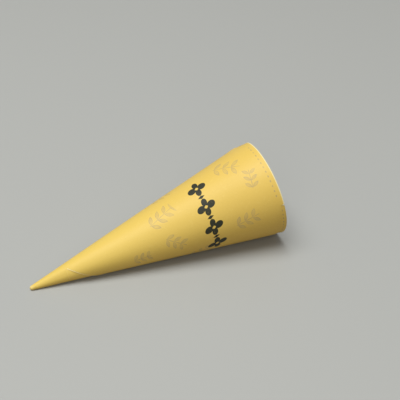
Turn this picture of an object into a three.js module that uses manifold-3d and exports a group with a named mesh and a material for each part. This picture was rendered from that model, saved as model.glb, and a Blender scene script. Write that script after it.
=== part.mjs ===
// Paper cone sleeve for ice cream: one sheet wound one and two thirds turns into a cone, lying on its side.
// Millimetres, +Z up. The tip points along -X, the mouth along +X, and the side on the table is at z = 0.
// Slants are measured from the sharp apex along the cone's side, and azimuths in degrees, 0 uppermost.
import * as THREE from 'three';
import { mergeVertices } from 'three/addons/utils/BufferGeometryUtils.js';
import Module from 'manifold-3d';

// Driving dimensions of the cone
const mouthDiameter = 45;
const sideLength = 115;
const tipRadius = 1;
const tipSolidLength = 5;
const tipSkirtLength = 5;

// Driving dimensions of the sheet and of its lap, the stretch that covers the first turn
const paperThickness = 0.25;
const layerGap = 0.05;
const innerEdgeAzimuth = -78;
const lapAngle = 232;
const lapRimStep = 1.6;
const lapRimDrop = 1.7;
const lapRimRun = 32;
const lapCornerHeight = 1.4;
const notchAngle = 0.4;
const notchGap = 1.4;
const freeEdgeSlant = 21.6;
const freeEdgeAzimuth = -18;
const freeEdgeCurl = 0.44;

// Driving dimensions of the soft dent that handling left in the rim
const dentAzimuth = 42;
const dentSpread = 34;
const dentReach = 9;
const dentDepth = 1;

// Facets of the mesh around the cone, and how many of them the narrow flat that it lies on takes up
const facetsPerTurn = 60;
const restingFacets = 3;
const tipArcSteps = 5;
const dentRows = 2;

const paperColour = 0xdcbc66;

// The cone that the outermost turn follows, up to the sharp apex that the blunt tip stops short of
const mouthRadius = mouthDiameter / 2;
const slantLength = (sideLength - tipRadius) / (1 - tipRadius / mouthRadius);
const halfAngle = Math.asin(mouthRadius / slantLength);
const turnPitch = paperThickness + layerGap;
const facetAngle = 360 / facetsPerTurn;
const restingAngle = restingFacets * facetAngle;

// The marks around the wound sheet, from the lap's corner inwards to the inner edge's foot at the tip
const lapStart = innerEdgeAzimuth - lapAngle;
const lapFoot = lapStart + 360;
const innerEdgeRim = innerEdgeAzimuth + 360 - notchGap;
const innerEdgeTip = freeEdgeAzimuth + 360;

// The cone's axis leans so that its resting flat lies on the table
const axisLean = Math.atan(Math.tan(halfAngle) * Math.cos(THREE.MathUtils.degToRad(restingAngle / 2)));
const axis = new THREE.Vector3(Math.cos(axisLean), 0, Math.sin(axisLean));
const upper = new THREE.Vector3(-Math.sin(axisLean), 0, Math.cos(axisLean));
const side = new THREE.Vector3(0, 1, 0);

// How far the rim is pressed in at a place on the cone
function dent(azimuth, slant) {
  const turned = THREE.MathUtils.euclideanModulo(azimuth - dentAzimuth + 180, 360) - 180;
  const along = THREE.MathUtils.clamp((slant - slantLength + dentReach) / dentReach, 0, 1);
  const around = Math.max(0, 1 - Math.abs(turned) / dentSpread);
  return dentDepth * along * along * THREE.MathUtils.smoothstep(around, 0, 1);
}

// A place under the cone's surface, as radius and height from the apex
function sectionPoint(slant, depth) {
  const radius = slant * Math.sin(halfAngle) - depth * Math.cos(halfAngle);
  return new THREE.Vector2(radius, slant * Math.cos(halfAngle) + depth * Math.sin(halfAngle));
}

// The share of the radius at which the faceted section lies, on a facet of its own or on the resting flat
function sectionShare(azimuth) {
  const fromBottom = THREE.MathUtils.euclideanModulo(azimuth, 360) - 180;
  const onFlat = Math.abs(fromBottom) < restingAngle / 2;
  const width = onFlat ? restingAngle : facetAngle;
  const fromMiddle = onFlat ? fromBottom : azimuth - Math.round(azimuth / facetAngle) * facetAngle;
  return Math.cos(THREE.MathUtils.degToRad(width / 2)) / Math.cos(THREE.MathUtils.degToRad(fromMiddle));
}

// A place in the sheet
function sheetPoint(azimuth, slant, depth) {
  const { x: radius, y: height } = sectionPoint(slant, depth + dent(azimuth, slant));
  const turn = THREE.MathUtils.degToRad(azimuth);
  const reach = radius * sectionShare(azimuth);
  const point = axis.clone().multiplyScalar(height);
  return point.addScaledVector(upper, reach * Math.cos(turn)).addScaledVector(side, reach * Math.sin(turn));
}

// The sheet's end on the tip's side: the free edge curls around the tip and then runs up to the rim
function lowerSlant(azimuth) {
  if (azimuth >= freeEdgeAzimuth) return freeEdgeSlant;
  const run = (freeEdgeAzimuth - azimuth) / (freeEdgeAzimuth - lapStart);
  const growth = (upperSlant(lapStart) - lapCornerHeight) / freeEdgeSlant;
  return freeEdgeSlant * Math.pow(growth, freeEdgeCurl * run + (1 - freeEdgeCurl) * run * run);
}

// The sheet's end on the mouth's side: the lap stops short of the rim, and the inner edge runs to the tip
function upperSlant(azimuth) {
  if (azimuth <= innerEdgeAzimuth) {
    const drop = lapRimDrop * THREE.MathUtils.smoothstep(innerEdgeAzimuth - azimuth, 0, lapRimRun);
    return slantLength - lapRimStep - drop;
  }
  const innerRun = Math.max(0, azimuth - innerEdgeRim) / (innerEdgeTip - innerEdgeRim);
  return THREE.MathUtils.lerp(slantLength, freeEdgeSlant + tipSkirtLength, innerRun);
}

// The sheet slips one turn's pitch inwards between the free edge's start and the lap's foot
function layerDepth(azimuth) {
  return turnPitch * THREE.MathUtils.clamp((azimuth - freeEdgeAzimuth) / (lapFoot - freeEdgeAzimuth), 0, 1);
}

// The azimuths at which the sheet has a line of vertices: its own marks and the section's corners
function columnAzimuths() {
  const notch = [innerEdgeAzimuth, innerEdgeAzimuth + notchAngle];
  const marks = [lapStart, ...notch, freeEdgeAzimuth, lapFoot, innerEdgeRim, innerEdgeTip];
  const corners = [];
  for (let turn = lapStart; turn < innerEdgeTip; turn += facetAngle) {
    corners.push((Math.floor(turn / facetAngle) + 0.5) * facetAngle);
  }
  const apart = corners.filter((corner) => marks.every((mark) => Math.abs(corner - mark) > notchAngle / 2));
  const inside = apart.filter((corner) => corner > lapStart && corner < innerEdgeTip);
  return [...marks, ...inside].sort((a, b) => a - b);
}

// Closes a grid of outer points and one of inner points into a solid; a quad's corners run clockwise
function closedGrid(outer, inner) {
  const rows = outer.length;
  const columns = outer[0].length;
  const face = (row, column) => row * columns + column;
  const back = (row, column) => (rows + row) * columns + column;
  const index = [];
  const quad = (a, b, c, d) => index.push(a, d, c, a, c, b);
  for (let row = 0; row + 1 < rows; row++) {
    for (let column = 0; column + 1 < columns; column++) {
      quad(face(row, column), face(row, column + 1), face(row + 1, column + 1), face(row + 1, column));
      quad(back(row, column), back(row + 1, column), back(row + 1, column + 1), back(row, column + 1));
    }
    const last = columns - 1;
    quad(face(row, 0), face(row + 1, 0), back(row + 1, 0), back(row, 0));
    quad(face(row, last), back(row, last), back(row + 1, last), face(row + 1, last));
  }
  for (let column = 0; column + 1 < columns; column++) {
    const last = rows - 1;
    quad(face(0, column), back(0, column), back(0, column + 1), face(0, column + 1));
    quad(face(last, column), face(last, column + 1), back(last, column + 1), back(last, column));
  }
  const positions = [...outer.flat(), ...inner.flat()].flatMap((point) => point.toArray());
  const geometry = new THREE.BufferGeometry();
  geometry.setAttribute('position', new THREE.Float32BufferAttribute(positions, 3));
  geometry.setIndex(index);
  return geometry;
}

// The wound sheet, straight along the cone but for the dent, which has rows of vertices of its own
function woundSheet() {
  const rowSlants = [0];
  for (let row = 0; row < dentRows; row++) rowSlants.push(slantLength - dentReach * (1 - row / dentRows));
  rowSlants.push(slantLength);
  const columns = columnAzimuths();
  const face = (depth) => rowSlants.map((rowSlant) => columns.map((azimuth) => {
    const slant = THREE.MathUtils.clamp(rowSlant, lowerSlant(azimuth), upperSlant(azimuth));
    return sheetPoint(azimuth, slant, layerDepth(azimuth) + depth);
  }));
  return closedGrid(face(0), face(paperThickness));
}

// The tip, where the sheet's corner is rolled tight and blunt; its skirt is held inside the lowest turn
function rolledTip() {
  const ballHeight = tipRadius / Math.sin(halfAngle);
  const skirtDepth = turnPitch + paperThickness / 2;
  const skirtEnd = freeEdgeSlant + tipSkirtLength;
  const ball = new THREE.Path();
  ball.absarc(0, ballHeight, tipRadius, -Math.PI / 2, -halfAngle, false);
  const section = ball.getPoints(tipArcSteps);
  section[0].x = 0;
  section.push(sectionPoint(freeEdgeSlant - layerGap, turnPitch));
  section.push(sectionPoint(freeEdgeSlant + tipSkirtLength / 2, skirtDepth));
  section.push(sectionPoint(skirtEnd, skirtDepth));
  section.push(sectionPoint(skirtEnd, skirtDepth + paperThickness));
  section.push(new THREE.Vector2(0, ballHeight - tipRadius + tipSolidLength));
  const geometry = new THREE.LatheGeometry(section, facetsPerTurn, THREE.MathUtils.degToRad(facetAngle / 2));
  geometry.applyMatrix4(new THREE.Matrix4().makeBasis(side.clone().negate(), axis, upper));
  const positions = geometry.getAttribute('position');
  for (let i = 0; i < positions.count; i++) positions.setZ(i, Math.max(0, positions.getZ(i)));
  return geometry;
}

const wasm = await Module();
wasm.setup();

// A closed geometry as a solid, with its seams merged and its collapsed triangles left out
function solidOf(geometry) {
  geometry.deleteAttribute('normal');
  geometry.deleteAttribute('uv');
  const merged = mergeVertices(geometry);
  const corners = merged.getIndex().array;
  const triangles = [];
  for (let i = 0; i < corners.length; i += 3) {
    const [a, b, c] = corners.slice(i, i + 3);
    if (a !== b && b !== c && c !== a) triangles.push(a, b, c);
  }
  const vertProperties = new Float32Array(merged.getAttribute('position').array);
  const triVerts = new Uint32Array(triangles);
  return new wasm.Manifold(new wasm.Mesh({ numProp: 3, vertProperties, triVerts }));
}

function geometryOf(solid) {
  const mesh = solid.getMesh();
  const geometry = new THREE.BufferGeometry();
  geometry.setAttribute('position', new THREE.Float32BufferAttribute(mesh.vertProperties, mesh.numProp));
  geometry.setIndex([...mesh.triVerts]);
  return geometry;
}

// The sleeve, with its origin at the middle of its base
const sleeve = new THREE.Mesh(
  geometryOf(solidOf(woundSheet()).add(solidOf(rolledTip()))),
  new THREE.MeshStandardMaterial({ color: paperColour, roughness: 0.7, metalness: 0 }),
);
sleeve.name = 'cone_sleeve';
sleeve.geometry.computeBoundingBox();
sleeve.position.x = -(sleeve.geometry.boundingBox.min.x + sleeve.geometry.boundingBox.max.x) / 2;

const group = new THREE.Group();
group.add(sleeve);
export default group;
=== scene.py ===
"""Paper cone sleeve for ice cream, lying on its side: the wound printed sheet and its rolled tip.

Lengths are in millimetres until a mesh is made, and azimuths in degrees around the cone, 0 uppermost.
A slant is measured from the cone's sharp apex along its side.
"""
import math

import bpy
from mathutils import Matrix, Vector


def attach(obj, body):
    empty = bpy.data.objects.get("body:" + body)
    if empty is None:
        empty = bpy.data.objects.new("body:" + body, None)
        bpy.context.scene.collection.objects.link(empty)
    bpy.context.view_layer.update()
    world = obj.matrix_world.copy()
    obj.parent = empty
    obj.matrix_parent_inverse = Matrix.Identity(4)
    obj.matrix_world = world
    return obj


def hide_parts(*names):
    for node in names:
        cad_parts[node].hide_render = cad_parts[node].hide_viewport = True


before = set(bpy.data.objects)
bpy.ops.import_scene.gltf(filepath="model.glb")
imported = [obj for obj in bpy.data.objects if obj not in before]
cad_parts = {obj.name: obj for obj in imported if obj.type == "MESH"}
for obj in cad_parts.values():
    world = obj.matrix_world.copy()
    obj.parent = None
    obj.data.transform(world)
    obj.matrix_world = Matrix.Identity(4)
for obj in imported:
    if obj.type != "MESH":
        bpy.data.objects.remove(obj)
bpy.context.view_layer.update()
MM = 0.001

# The camera at the photograph's viewing angle, with the point it looks at
CAMERA_AZIMUTH = -24.04
CAMERA_ELEVATION = 36.63
CAMERA_TARGET = Vector((23.69, 3.60, 21.02))
CAMERA_DISTANCE = 359.10
CAMERA_LENS = 72
SENSOR_WIDTH = 36

# The floor lies a hair under the model, in metres
FLOOR_REACH = 4.0
FLOOR_LEVEL = -0.00003

# The cone, with the solid's dimensions
MOUTH_RADIUS = 22.5
SIDE_LENGTH = 115
TIP_RADIUS = 1
RESTING_ANGLE = 18
APEX_X = -61.73

# The sheet and its lap: within a millimetre of the solid's, as a finer reading of the photo
PAPER_THICKNESS = 0.25
TURN_PITCH = 0.3
INNER_EDGE_AZIMUTH = -76
LAP_ANGLE = 234
LAP_RIM_STEP = 1.6
LAP_RIM_DROP = 1.7
LAP_RIM_RUN = 32
LAP_CORNER_HEIGHT = 1.4
NOTCH_ANGLE = 0.4
NOTCH_GAP = 1.4
FREE_EDGE_SLANT = 21.5
FREE_EDGE_AZIMUTH = -18
FREE_EDGE_CURL = 0.5
SKIRT_LENGTH = 5
LAP_START = INNER_EDGE_AZIMUTH - LAP_ANGLE
LAP_FOOT = LAP_START + 360
INNER_EDGE_RIM = INNER_EDGE_AZIMUTH + 360 - NOTCH_GAP
INNER_EDGE_TIP = FREE_EDGE_AZIMUTH + 360

# The dent in the rim, and the small unevenness of thin paper
DENT_AZIMUTH = 42
DENT_SPREAD = 26
DENT_REACH = 9
DENT_DEPTH = 1.0
WAVE_DEPTH = 0.06
BULGE = 0.2
EDGE_LIFT = 0.1
EDGE_LIFT_REACH = 1.2
CORNER_LIFT = 0.22
RIM_FLARE = 0.24
BEVEL = 0.05
# The pale strip on the outer face along the free edge and the rim, and where it runs along the free
# edge: the cut edge's white core, widened as a painted highlight of the edge catching light
PALE_STRIP = 0.38
PALE_HIGHLIGHT_STRIP_START = -27
PALE_HIGHLIGHT_STRIP_END = -200
SEAM_FADE = 45
SEAM_FADE_REACH = 1.4

# Fineness of the meshes, and the tip's clearance to the sheet around it
COLUMN_ANGLE = 1.5
SHEET_ROWS = 56
TIP_SEGMENTS = 96
TIP_ROWS = 26
TIP_ARCS = 8
CLEARANCE = 0.02

SLANT_LENGTH = (SIDE_LENGTH - TIP_RADIUS) / (1 - TIP_RADIUS / MOUTH_RADIUS)
HALF_ANGLE = math.asin(MOUTH_RADIUS / SLANT_LENGTH)
AXIS_LEAN = math.atan(math.tan(HALF_ANGLE) * math.cos(math.radians(RESTING_ANGLE / 2)))

# Colours, as linear red, green and blue
YELLOW = (0.80, 0.585, 0.13, 1)
TAN = (0.78, 0.55, 0.12, 1)
# PALE_EDGE is the cut paper's pale core; on the strip along the free edge and rim it also serves as a
# painted highlight
PALE_EDGE = (0.94, 0.81, 0.40, 1)
BARE_PAPER = (0.80, 0.77, 0.69, 1)
DARK_PRINT = (0.024, 0.026, 0.013, 1)
FAINT_PRINT = (0.43, 0.33, 0.18, 1)
BROAD_SHADE = (0.70, 0.50, 0.11, 1)
LIGHT_SPECK = (0.90, 0.72, 0.26, 1)
FIBRE_SHADE = (0.62, 0.45, 0.10, 1)
BARE_SHADE = (0.66, 0.62, 0.52, 1)
EDGE_SHADE = (0.78, 0.68, 0.42, 1)
FLOOR_GREY = (0.43, 0.445, 0.435, 1)
FLOOR_BOUNCE = (0.22, 0.185, 0.14, 1)
BACKDROP_GREY = (0.56, 0.575, 0.56, 1)
ROOM_LIGHT = (0.14, 0.12, 0.10, 1)


def clamp(value, low=0.0, high=1.0):
    return max(low, min(high, value))


def lerp(start, end, share):
    return start + (end - start) * share


def smooth(share):
    share = clamp(share)
    return share * share * (3 - 2 * share)


def from_azimuth(azimuth, middle):
    """How far an azimuth lies from another one, the short way round."""
    return (azimuth - middle + 180) % 360 - 180


def upper_slant(azimuth):
    """The sheet's end on the mouth's side."""
    if azimuth <= INNER_EDGE_AZIMUTH:
        drop = LAP_RIM_DROP * smooth((INNER_EDGE_AZIMUTH - azimuth) / LAP_RIM_RUN)
        return SLANT_LENGTH - LAP_RIM_STEP - drop
    run = max(0.0, azimuth - INNER_EDGE_RIM) / (INNER_EDGE_TIP - INNER_EDGE_RIM)
    return lerp(SLANT_LENGTH, FREE_EDGE_SLANT + SKIRT_LENGTH, run)


def lower_slant(azimuth):
    """The sheet's end on the tip's side, which curls around the tip and then runs up to the rim."""
    if azimuth >= FREE_EDGE_AZIMUTH:
        return FREE_EDGE_SLANT
    run = (FREE_EDGE_AZIMUTH - azimuth) / (FREE_EDGE_AZIMUTH - LAP_START)
    growth = (upper_slant(LAP_START) - LAP_CORNER_HEIGHT) / FREE_EDGE_SLANT
    return FREE_EDGE_SLANT * growth ** (FREE_EDGE_CURL * run + (1 - FREE_EDGE_CURL) * run * run)


def free_edge_azimuth(slant):
    """Where the sheet's free edge crosses a slant."""
    growth = math.log((upper_slant(LAP_START) - LAP_CORNER_HEIGHT) / FREE_EDGE_SLANT)
    share = clamp(math.log(max(slant, FREE_EDGE_SLANT) / FREE_EDGE_SLANT) / growth)
    bend = 1 - FREE_EDGE_CURL
    run = (math.sqrt(FREE_EDGE_CURL**2 + 4 * bend * share) - FREE_EDGE_CURL) / (2 * bend)
    return lerp(FREE_EDGE_AZIMUTH, LAP_START, run)


def layer_depth(azimuth, slant):
    """The sheet slips one turn's pitch inwards until it dives under its free edge.

    At the tip the inner turn rises again to the free edge's start, so that the edge fades out there.
    """
    slip = clamp((azimuth - FREE_EDGE_AZIMUTH) / (360 + free_edge_azimuth(slant) - FREE_EDGE_AZIMUTH))
    near_seam = smooth((azimuth - INNER_EDGE_TIP + SEAM_FADE) / SEAM_FADE)
    near_tip = math.exp(-(((slant - FREE_EDGE_SLANT) / SEAM_FADE_REACH) ** 2))
    return TURN_PITCH * slip * (1 - near_seam * near_tip)


def unevenness(azimuth, slant):
    """How far the whole cone is pressed inwards at a place; its middle bulges a little."""
    along = clamp((slant - SLANT_LENGTH + DENT_REACH) / DENT_REACH)
    beside = 1 - abs(from_azimuth(azimuth, DENT_AZIMUTH)) / DENT_SPREAD
    dent = DENT_DEPTH * along * along * smooth(beside)
    turn = math.radians(azimuth)
    wave = 0.5 + 0.3 * math.sin(3 * turn + slant / 19) + 0.2 * math.sin(5 * turn - slant / 11 + 1)
    off_table = smooth((abs(from_azimuth(azimuth, 180)) - RESTING_ANGLE / 2) / 40)
    bulge = BULGE * smooth(slant / 45) * smooth((SLANT_LENGTH - slant) / 7)
    return dent + (WAVE_DEPTH * wave * smooth(slant / 60) - bulge) * off_table


def edge_lift(azimuth, slant):
    """How far the sheet stands out: at its free edge, at its corner, and where the rim is uncovered."""
    if azimuth > FREE_EDGE_AZIMUTH:
        uncovered = smooth((slant - SLANT_LENGTH) / (LAP_RIM_STEP + LAP_RIM_DROP) + 1)
        return RIM_FLARE * uncovered * smooth((azimuth - 150) / 30) * smooth((258 - azimuth) / 35)
    rise = smooth((FREE_EDGE_AZIMUTH - azimuth) / 25) * smooth((azimuth - PALE_HIGHLIGHT_STRIP_END + 60) / 60)
    off_table = smooth((abs(from_azimuth(azimuth, 180)) - RESTING_ANGLE / 2) / 15)
    edge = EDGE_LIFT * rise * off_table * math.exp(-(slant - lower_slant(azimuth)) / EDGE_LIFT_REACH)
    corner = CORNER_LIFT * smooth(1 - (azimuth - LAP_START) / 24) * smooth((slant - 84) / 18)
    return edge + corner


def cone_place(azimuth, slant, depth):
    """A place under the cone's surface, in metres in the model's frame."""
    depth += unevenness(azimuth, slant)
    radius = slant * math.sin(HALF_ANGLE) - depth * math.cos(HALF_ANGLE)
    height = slant * math.cos(HALF_ANGLE) + depth * math.sin(HALF_ANGLE)
    from_bottom = abs(from_azimuth(azimuth, 180))
    if from_bottom < RESTING_ANGLE / 2:
        radius *= math.cos(math.radians(RESTING_ANGLE / 2)) / math.cos(math.radians(from_bottom))
    rise = radius * math.cos(math.radians(azimuth))
    x = height * math.cos(AXIS_LEAN) - rise * math.sin(AXIS_LEAN) + APEX_X
    y = radius * math.sin(math.radians(azimuth))
    z = height * math.sin(AXIS_LEAN) + rise * math.cos(AXIS_LEAN)
    return Vector((x, y, max(0.0, z))) * MM


def make_piece(name, points, faces, kinds, materials, marks):
    """A closed mesh with its materials, and with each point's azimuth, slant and side for the print."""
    mesh = bpy.data.meshes.new(name)
    mesh.from_pydata(points, [], faces)
    for material in materials:
        mesh.materials.append(material)
    mesh.polygons.foreach_set("material_index", kinds)
    mesh.polygons.foreach_set("use_smooth", [True] * len(faces))
    attribute = mesh.attributes.new("sheet", "FLOAT_VECTOR", "POINT")
    attribute.data.foreach_set("vector", [number for mark in marks for number in mark])
    mesh.set_sharp_from_angle(angle=math.radians(50))
    mesh.validate()
    piece = bpy.data.objects.new(name, mesh)
    bpy.context.scene.collection.objects.link(piece)
    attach(piece, "root")
    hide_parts("cone_sleeve")
    return piece


class Graph:
    """The nodes of a material or of the world, written as formulas."""

    def __init__(self, owner):
        owner.use_nodes = True
        self.owner = owner
        self.tree = owner.node_tree
        self.shader = self.tree.nodes.get("Principled BSDF")

    def put(self, socket, value):
        if isinstance(value, bpy.types.NodeSocket):
            self.tree.links.new(value, socket)
        else:
            socket.default_value = value

    def math(self, operation, *values):
        node = self.tree.nodes.new("ShaderNodeMath")
        node.operation = operation
        for socket, value in zip(node.inputs, values):
            self.put(socket, value)
        return node.outputs[0]

    def add(self, first, second):
        return self.math("ADD", first, second)

    def less(self, first, second):
        return self.math("SUBTRACT", first, second)

    def times(self, first, second):
        return self.math("MULTIPLY", first, second)

    def most(self, first, *others):
        for other in others:
            first = self.math("MAXIMUM", first, other)
        return first

    def size(self, value):
        return self.math("ABSOLUTE", value)

    def step(self, value, low, high):
        """Rises smoothly from 0 at low to 1 at high."""
        node = self.tree.nodes.new("ShaderNodeMapRange")
        node.interpolation_type = "SMOOTHSTEP"
        for socket, number in zip(node.inputs, (value, low, high, 0.0, 1.0)):
            self.put(socket, number)
        return node.outputs[0]

    def between(self, value, low, high, soft):
        rises = self.step(value, low - soft, low + soft)
        falls = self.step(value, high - soft, high + soft)
        return self.times(rises, self.less(1.0, falls))

    def mix(self, first, second, share):
        node = self.tree.nodes.new("ShaderNodeMix")
        node.data_type = "RGBA"
        self.put(node.inputs[0], share)
        self.put(node.inputs[6], first)
        self.put(node.inputs[7], second)
        return node.outputs[2]

    def noise(self, place, scale, detail=3.0):
        node = self.tree.nodes.new("ShaderNodeTexNoise")
        self.put(node.inputs["Vector"], place)
        self.put(node.inputs["Scale"], scale)
        self.put(node.inputs["Detail"], detail)
        return node.outputs[0]

    def object_place(self):
        return self.tree.nodes.new("ShaderNodeTexCoord").outputs["Object"]

    def stretched(self, place, scale):
        node = self.tree.nodes.new("ShaderNodeVectorMath")
        node.operation = "MULTIPLY"
        self.put(node.inputs[0], place)
        self.put(node.inputs[1], scale)
        return node.outputs[0]

    def sheet_place(self):
        attribute = self.tree.nodes.new("ShaderNodeAttribute")
        attribute.attribute_name = "sheet"
        split = self.tree.nodes.new("ShaderNodeSeparateXYZ")
        self.put(split.inputs[0], attribute.outputs["Vector"])
        return split.outputs[0], split.outputs[1]

    def bump(self, height, strength, distance):
        node = self.tree.nodes.new("ShaderNodeBump")
        self.put(node.inputs["Strength"], strength)
        self.put(node.inputs["Distance"], distance)
        self.put(node.inputs["Height"], height)
        self.put(self.shader.inputs["Normal"], node.outputs[0])


# Places on the flat sheet around a motif's middle: along the rim's way and along the slant
ARC_PER_DEGREE = math.radians(1) * math.sin(HALF_ANGLE)


def around(graph, azimuth, slant, middle):
    return graph.times(graph.times(graph.less(azimuth, middle), ARC_PER_DEGREE), slant)


def turned(graph, first, second, angle):
    """Two coordinates seen from a frame turned by an angle."""
    cosine, sine = math.cos(math.radians(angle)), math.sin(math.radians(angle))
    along = graph.add(graph.times(first, cosine), graph.times(second, sine))
    across = graph.less(graph.times(second, cosine), graph.times(first, sine))
    return along, across


# The dark ornaments: where their band lies and how they repeat
BAND_SLANT = 87.3
BAND_START = 9.0
ORNAMENT_PITCH = 9.6
ORNAMENTS = 4
PRINT_EDGE = 0.07


def ellipse(graph, x, y, half_width, half_height):
    """Positive inside an ellipse, in about millimetres from its edge."""
    reach = graph.math("SQRT", graph.add(
        graph.math("POWER", graph.math("DIVIDE", x, half_width), 2.0),
        graph.math("POWER", graph.math("DIVIDE", y, half_height), 2.0),
    ))
    return graph.times(graph.less(1.0, reach), min(half_width, half_height))


def lozenge(graph, x, y, half_width, half_height):
    """Positive inside a lozenge, in about millimetres from its edge."""
    reach = graph.add(
        graph.math("DIVIDE", graph.size(x), half_width),
        graph.math("DIVIDE", graph.size(y), half_height),
    )
    return graph.times(graph.less(1.0, reach), min(half_width, half_height))


def dark_ornaments(graph, azimuth, slant):
    """A row of four-petalled rosettes with a small lozenge between each two."""
    run = graph.times(around(graph, azimuth, slant, BAND_START), -1.0)
    y = graph.less(slant, BAND_SLANT)
    row = graph.between(run, 0.0, ORNAMENT_PITCH * ORNAMENTS - 0.3, 0.01)
    x = graph.less(graph.math("FLOORED_MODULO", run, ORNAMENT_PITCH), ORNAMENT_PITCH / 2)
    tall_petals = ellipse(graph, x, graph.less(graph.size(y), 2.4), 1.6, 2.0)
    wide_petals = ellipse(graph, graph.less(graph.size(x), 2.15), y, 1.8, 1.35)
    eye = lozenge(graph, x, y, 0.8, 1.0)
    petals = graph.step(graph.most(tall_petals, wide_petals), 0.0, PRINT_EDGE)
    rosette = graph.less(petals, graph.step(eye, 0.0, 0.1))
    shifted = graph.less(graph.size(x), ORNAMENT_PITCH / 2)
    small = graph.step(lozenge(graph, shifted, y, 0.8, 1.7), 0.0, PRINT_EDGE)
    inner = graph.between(run, 2.0, ORNAMENT_PITCH * ORNAMENTS - 2.0, 0.01)
    return graph.most(graph.times(rosette, row), graph.times(small, inner), 0.0)


def leaf_spray(graph, azimuth, slant, middle, foot, angle, length, leaf):
    """A straight stem with pairs of pointed leaves; leaf is the half length of one leaf."""
    x = around(graph, azimuth, slant, middle)
    y = graph.less(slant, foot)
    along, across = turned(graph, x, y, angle)
    side = graph.size(across)
    pitch = leaf * 1.9
    cell = graph.less(graph.math("FLOORED_MODULO", along, pitch), pitch / 2)
    leaf_along, leaf_across = turned(graph, cell, graph.less(side, leaf * 0.95), 52)
    taper = graph.less(1.0, graph.math("POWER", graph.math("DIVIDE", leaf_along, leaf), 2.0))
    inside = graph.less(graph.times(taper, leaf * 0.36), graph.size(leaf_across))
    fill = graph.step(inside, -0.03, 0.05)
    line = graph.less(1.0, graph.step(graph.size(inside), 0.08, 0.2))
    vein = graph.times(graph.less(1.0, graph.step(graph.size(leaf_across), 0.05, 0.15)), fill)
    stem = graph.less(1.0, graph.step(side, 0.09, 0.2))
    drawn = graph.most(graph.times(fill, 0.45), line, graph.times(vein, 0.8), stem)
    return graph.times(drawn, graph.between(along, 0.0, length, 0.05))


def dot_row(graph, azimuth, slant, start, end, height):
    """A row of small lozenges beside the rim."""
    pitch = 2.3
    run = around(graph, azimuth, slant, start)
    x = graph.less(graph.math("FLOORED_MODULO", run, pitch), pitch / 2)
    small = graph.step(lozenge(graph, x, graph.less(slant, height), 0.75, 0.4), 0.0, 0.08)
    return graph.times(small, graph.between(azimuth, min(start, end), max(start, end), 0.2))


# The faint sprays: middle azimuth, foot's slant, the stem's turn, its length and the leaf's half length
SPRAYS = [
    (8, 98, 122, 12.5, 2.1),
    (-44, 109, 12, 8.6, 1.6),
    (-30, 62, 72, 13.0, 2.0),
    (-66, 66, 128, 10.0, 1.7),
    (-96, 50, 84, 8.0, 1.5),
    (-84, 97, 76, 11.0, 1.9),
    (34, 68, 95, 10.0, 1.7),
    (-135, 76, 60, 11.0, 1.8),
    (-165, 100, 130, 12.0, 2.0),
    (-232, 102, 40, 12.0, 2.0),
    (110, 60, 80, 10.0, 1.7),
    (165, 38, 100, 6.5, 1.3),
]

# The rows of small lozenges at the rim: start, end and slant
DOT_ROWS = [(-66, 12, 117.0), (238, 281, 117.9)]


def printed_paper():
    graph = Graph(bpy.data.materials.new("printed_paper_outside"))
    place = graph.object_place()
    azimuth, slant = graph.sheet_place()
    broad = graph.noise(place, 28.0, 2.0)
    fibre = graph.noise(graph.stretched(place, (0.35, 1.0, 1.0)), 2600.0, 4.0)
    speck = graph.noise(place, 900.0, 3.0)

    colour = graph.mix(YELLOW, TAN, graph.step(slant, 25.0, 110.0))
    colour = graph.mix(colour, BROAD_SHADE, graph.times(graph.step(broad, 0.45, 0.75), 0.16))
    colour = graph.mix(colour, LIGHT_SPECK, graph.times(graph.step(speck, 0.55, 0.75), 0.14))
    colour = graph.mix(colour, FIBRE_SHADE, graph.times(graph.step(fibre, 0.52, 0.72), 0.18))
    # The very tip is paler, in specks
    pale_tip = graph.times(graph.less(1.0, graph.step(slant, 4.6, 6.5)), graph.step(speck, 0.3, 0.6))
    colour = graph.mix(colour, PALE_EDGE, graph.times(pale_tip, 0.5))

    faint = 0.0
    for middle, foot, angle, length, leaf in SPRAYS:
        faint = graph.most(leaf_spray(graph, azimuth, slant, middle, foot, angle, length, leaf), faint)
    for start, end, height in DOT_ROWS:
        faint = graph.most(dot_row(graph, azimuth, slant, start, end, height), faint)
    worn = graph.add(0.42, graph.times(graph.step(graph.noise(place, 420.0, 3.0), 0.35, 0.65), 0.3))
    colour = graph.mix(colour, FAINT_PRINT, graph.times(faint, worn))
    dark = dark_ornaments(graph, azimuth, slant)
    ink = graph.less(1.0, graph.times(graph.step(speck, 0.6, 0.8), 0.12))
    colour = graph.mix(colour, DARK_PRINT, graph.times(dark, ink))

    graph.put(graph.shader.inputs["Base Color"], colour)
    gloss = graph.add(0.48, graph.times(graph.less(broad, 0.5), 0.2))
    graph.put(graph.shader.inputs["Roughness"], graph.add(gloss, graph.times(dark, 0.08)))
    graph.put(graph.shader.inputs["Specular IOR Level"], 0.3)
    relief = graph.add(fibre, graph.times(broad, 1.5))
    graph.bump(relief, 0.25, 0.00006)
    return graph.owner


def plain_paper(name, colour, darker):
    graph = Graph(bpy.data.materials.new(name))
    place = graph.object_place()
    fibre = graph.noise(graph.stretched(place, (0.35, 1.0, 1.0)), 2200.0, 4.0)
    broad = graph.noise(place, 45.0, 2.0)
    share = graph.times(graph.add(graph.step(fibre, 0.4, 0.7), graph.step(broad, 0.45, 0.75)), 0.25)
    graph.put(graph.shader.inputs["Base Color"], graph.mix(colour, darker, share))
    graph.put(graph.shader.inputs["Roughness"], graph.add(0.62, graph.times(fibre, 0.2)))
    graph.bump(fibre, 0.3, 0.00005)
    return graph.owner


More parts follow.
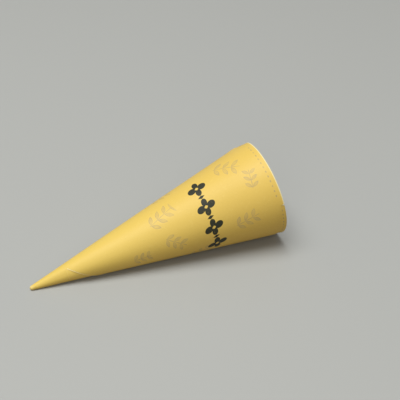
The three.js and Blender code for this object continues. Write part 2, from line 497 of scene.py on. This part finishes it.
def sheet_columns():
    """The azimuths of the sheet's columns; its turns have columns at the same places."""
    notch = [INNER_EDGE_AZIMUTH, INNER_EDGE_AZIMUTH + NOTCH_ANGLE]
    marks = [*notch, FREE_EDGE_AZIMUTH, LAP_FOOT, INNER_EDGE_RIM]
    columns = int((INNER_EDGE_TIP - LAP_START) / COLUMN_ANGLE)
    even = [LAP_START + column * COLUMN_ANGLE for column in range(columns + 1)]
    least = NOTCH_ANGLE / 2
    apart = [azimuth for azimuth in even if all(abs(azimuth - mark) > least for mark in marks)]
    return sorted({*apart, *marks, INNER_EDGE_TIP})


def sheet_rows(azimuth):
    """The slants of a column's rows and how deep each is pressed, with a bevel along the cut edges."""
    low, high = lower_slant(azimuth), upper_slant(azimuth)
    low_row, high_row = low + PALE_STRIP, high - PALE_STRIP
    middle = [lerp(low_row, high_row, row / SHEET_ROWS) for row in range(SHEET_ROWS + 1)]
    low_bevel = BEVEL if azimuth < FREE_EDGE_AZIMUTH else 0.0
    return [(low, low_bevel), *[(slant, 0.0) for slant in middle], (high, BEVEL)]


# The places of the sheet's materials in its list
PRINTED, BARE, CUT = 0, 1, 2


def outer_kind(azimuth, row, rows):
    """The material of an outer face: a pale strip along the free edge and the rim, the cut edge's white
    core widened onto the face as a painted highlight of the edge catching light.
    """
    free_edge = row == 0 and PALE_HIGHLIGHT_STRIP_END < azimuth < PALE_HIGHLIGHT_STRIP_START
    rim = row == rows - 2 and INNER_EDGE_AZIMUTH < azimuth < 180
    return CUT if free_edge or rim else PRINTED


def wound_sheet(materials):
    """One sheet wound into the cone, printed outside and bare inside, with a pale cut edge."""
    columns = sheet_columns()
    points, marks = [], []
    for inside in (0, 1):
        for azimuth in columns:
            for slant, pressed in sheet_rows(azimuth):
                depth = layer_depth(azimuth, slant) - edge_lift(azimuth, slant)
                depth += PAPER_THICKNESS if inside else pressed
                points.append(cone_place(azimuth, slant, depth))
                marks.append((azimuth, slant, inside))
    rows = SHEET_ROWS + 3
    half = rows * len(columns)
    faces, kinds = [], []
    for column in range(len(columns) - 1):
        for row in range(rows - 1):
            start = column * rows + row
            faces.append((start, start + 1, start + rows + 1, start + rows))
            kinds.append(outer_kind(columns[column], row, rows))
            start += half
            faces.append((start, start + rows, start + rows + 1, start + 1))
            kinds.append(BARE)
        worn = columns[column] > PALE_HIGHLIGHT_STRIP_END
        for start, forward in ((column * rows, True), (column * rows + rows - 1, False)):
            corners = (start, start + rows, start + rows + half, start + half)
            faces.append(corners if forward else corners[::-1])
            kinds.append(CUT if worn or not forward else PRINTED)
    for start, forward in ((0, False), (half - rows, True)):
        for row in range(start, start + rows - 1):
            corners = (row, row + 1, row + 1 + half, row + half)
            faces.append(corners if forward else corners[::-1])
            kinds.append(CUT if forward else PRINTED)
    return make_piece("wound_sheet", points, faces, kinds, materials, marks)


def tip_depth(azimuth, slant):
    """The rolled tip lies flush with the sheet that runs into it, and evens out towards its end."""
    wound = FREE_EDGE_AZIMUTH + (azimuth - FREE_EDGE_AZIMUTH) % 360
    return layer_depth(wound, FREE_EDGE_SLANT) * smooth((slant - 6) / (FREE_EDGE_SLANT - 6))


def rolled_tip(materials):
    """The tight blunt tip, with a skirt that ends inside the lowest turn."""
    ball_height = TIP_RADIUS / math.sin(HALF_ANGLE)
    ball_slant = TIP_RADIUS / math.tan(HALF_ANGLE)
    points, marks, faces = [], [], []

    def ring(place_of):
        for segment in range(TIP_SEGMENTS):
            azimuth = FREE_EDGE_AZIMUTH + 360 * segment / TIP_SEGMENTS
            point, slant = place_of(azimuth)
            points.append(point)
            marks.append((azimuth, slant, 0))

    def ball_place(polar):
        def place_of(azimuth):
            radius = TIP_RADIUS * math.sin(polar)
            height = ball_height - TIP_RADIUS * math.cos(polar)
            rise = radius * math.cos(math.radians(azimuth))
            x = height * math.cos(AXIS_LEAN) - rise * math.sin(AXIS_LEAN) + APEX_X
            z = height * math.sin(AXIS_LEAN) + rise * math.cos(AXIS_LEAN)
            y = radius * math.sin(math.radians(azimuth))
            return Vector((x, y, max(0.0, z))) * MM, height

        return place_of

    def side_place(slant, more_depth=0.0):
        def place_of(azimuth):
            return cone_place(azimuth, slant, tip_depth(azimuth, slant) + more_depth), slant

        return place_of

    for arc in range(1, TIP_ARCS):
        ring(ball_place((math.pi / 2 - HALF_ANGLE) * arc / TIP_ARCS))
    for row in range(TIP_ROWS + 1):
        ring(side_place(lerp(ball_slant, FREE_EDGE_SLANT - CLEARANCE, row / TIP_ROWS)))
    skirt_depth = PAPER_THICKNESS + CLEARANCE
    ring(side_place(FREE_EDGE_SLANT, skirt_depth))
    ring(side_place(FREE_EDGE_SLANT + SKIRT_LENGTH, skirt_depth + TURN_PITCH / 2))
    rings = len(points) // TIP_SEGMENTS
    for row in range(rings - 1):
        for segment in range(TIP_SEGMENTS):
            following = (segment + 1) % TIP_SEGMENTS
            start, end = row * TIP_SEGMENTS, (row + 1) * TIP_SEGMENTS
            faces.append((start + segment, end + segment, end + following, start + following))
    first, last = len(points), len(points) + 1
    front_cap, back_cap = [], []
    for height in (ball_height - TIP_RADIUS, FREE_EDGE_SLANT + SKIRT_LENGTH):
        x, z = height * math.cos(AXIS_LEAN) + APEX_X, height * math.sin(AXIS_LEAN)
        points.append(Vector((x, 0, z)) * MM)
        marks.append((0, height, 0))
    for segment in range(TIP_SEGMENTS):
        following = (segment + 1) % TIP_SEGMENTS
        end = (rings - 1) * TIP_SEGMENTS
        front_cap.append((first, segment, following))
        back_cap.append((last, end + following, end + segment))
    faces = front_cap + faces + back_cap
    covered = (rings - 2) * TIP_SEGMENTS
    kinds = [PRINTED] * covered + [BARE] * (len(faces) - covered)
    return make_piece("rolled_tip", points, faces, kinds, materials, marks)


def aim(thing, place, target):
    thing.location = place
    thing.rotation_mode = "QUATERNION"
    thing.rotation_quaternion = (target - place).to_track_quat("-Z", "Y")


def area_light(name, place, target, width, watts, colour):
    data = bpy.data.lights.new(name, "AREA")
    data.shape = "SQUARE"
    data.size = width
    data.energy = watts
    data.color = colour
    lamp = bpy.data.objects.new(name, data)
    bpy.context.scene.collection.objects.link(lamp)
    aim(lamp, Vector(place), Vector(target))


def camera():
    azimuth, elevation = math.radians(CAMERA_AZIMUTH), math.radians(CAMERA_ELEVATION)
    back = Vector((
        math.sin(azimuth) * math.cos(elevation),
        -math.cos(azimuth) * math.cos(elevation),
        math.sin(elevation),
    ))
    data = bpy.data.cameras.new("camera")
    data.lens = CAMERA_LENS
    data.sensor_width = SENSOR_WIDTH
    data.clip_start = 0.01
    data.clip_end = 20
    thing = bpy.data.objects.new("camera", data)
    bpy.context.scene.collection.objects.link(thing)
    target = CAMERA_TARGET * MM
    aim(thing, target + back * CAMERA_DISTANCE * MM, target)
    bpy.context.scene.camera = thing


def seen_rays(graph):
    """1 on the rays by which a surface is seen, straight or in a reflection, and 0 on all others."""
    rays = graph.tree.nodes.new("ShaderNodeLightPath").outputs
    return graph.most(rays["Is Camera Ray"], rays["Is Glossy Ray"], rays["Is Transmission Ray"])


def floor():
    graph = Graph(bpy.data.materials.new("table_top"))
    graph.put(graph.shader.inputs["Base Color"], graph.mix(FLOOR_BOUNCE, FLOOR_GREY, seen_rays(graph)))
    graph.put(graph.shader.inputs["Roughness"], 0.45)
    graph.put(graph.shader.inputs["Specular IOR Level"], 0.3)
    mesh = bpy.data.meshes.new("floor")
    ways = [(-1, -1), (1, -1), (1, 1), (-1, 1)]
    corners = [(x * FLOOR_REACH, y * FLOOR_REACH, FLOOR_LEVEL) for x, y in ways]
    mesh.from_pydata(corners, [], [(0, 1, 2, 3)])
    mesh.materials.append(graph.owner)
    thing = bpy.data.objects.new("floor", mesh)
    bpy.context.scene.collection.objects.link(thing)


def surroundings():
    """Even warm light from all round, before a pale backdrop."""
    graph = Graph(bpy.data.worlds.new("studio"))
    background = graph.tree.nodes["Background"]
    graph.put(background.inputs["Color"], graph.mix(ROOM_LIGHT, BACKDROP_GREY, seen_rays(graph)))
    bpy.context.scene.world = graph.owner


camera()
floor()
surroundings()
area_light("key", (-0.32, -0.08, 1.5), (0.0, 0.0, 0.02), 0.95, 23.0, (1.0, 0.995, 0.98))
area_light("fill", (-0.75, -1.25, 0.95), (0.0, 0.0, 0.02), 1.2, 6.5, (1.0, 1.0, 0.99))
bpy.context.scene.view_settings.view_transform = "Standard"

outside = printed_paper()
inside = plain_paper("bare_paper_inside", BARE_PAPER, BARE_SHADE)
# The pale cut edge's material also colours the strip along the free edge and rim, which is partly a
# painted highlight
cut_edge = plain_paper("pale_cut_edge", PALE_EDGE, EDGE_SHADE)
wound_sheet([outside, inside, cut_edge])
rolled_tip([outside, inside])
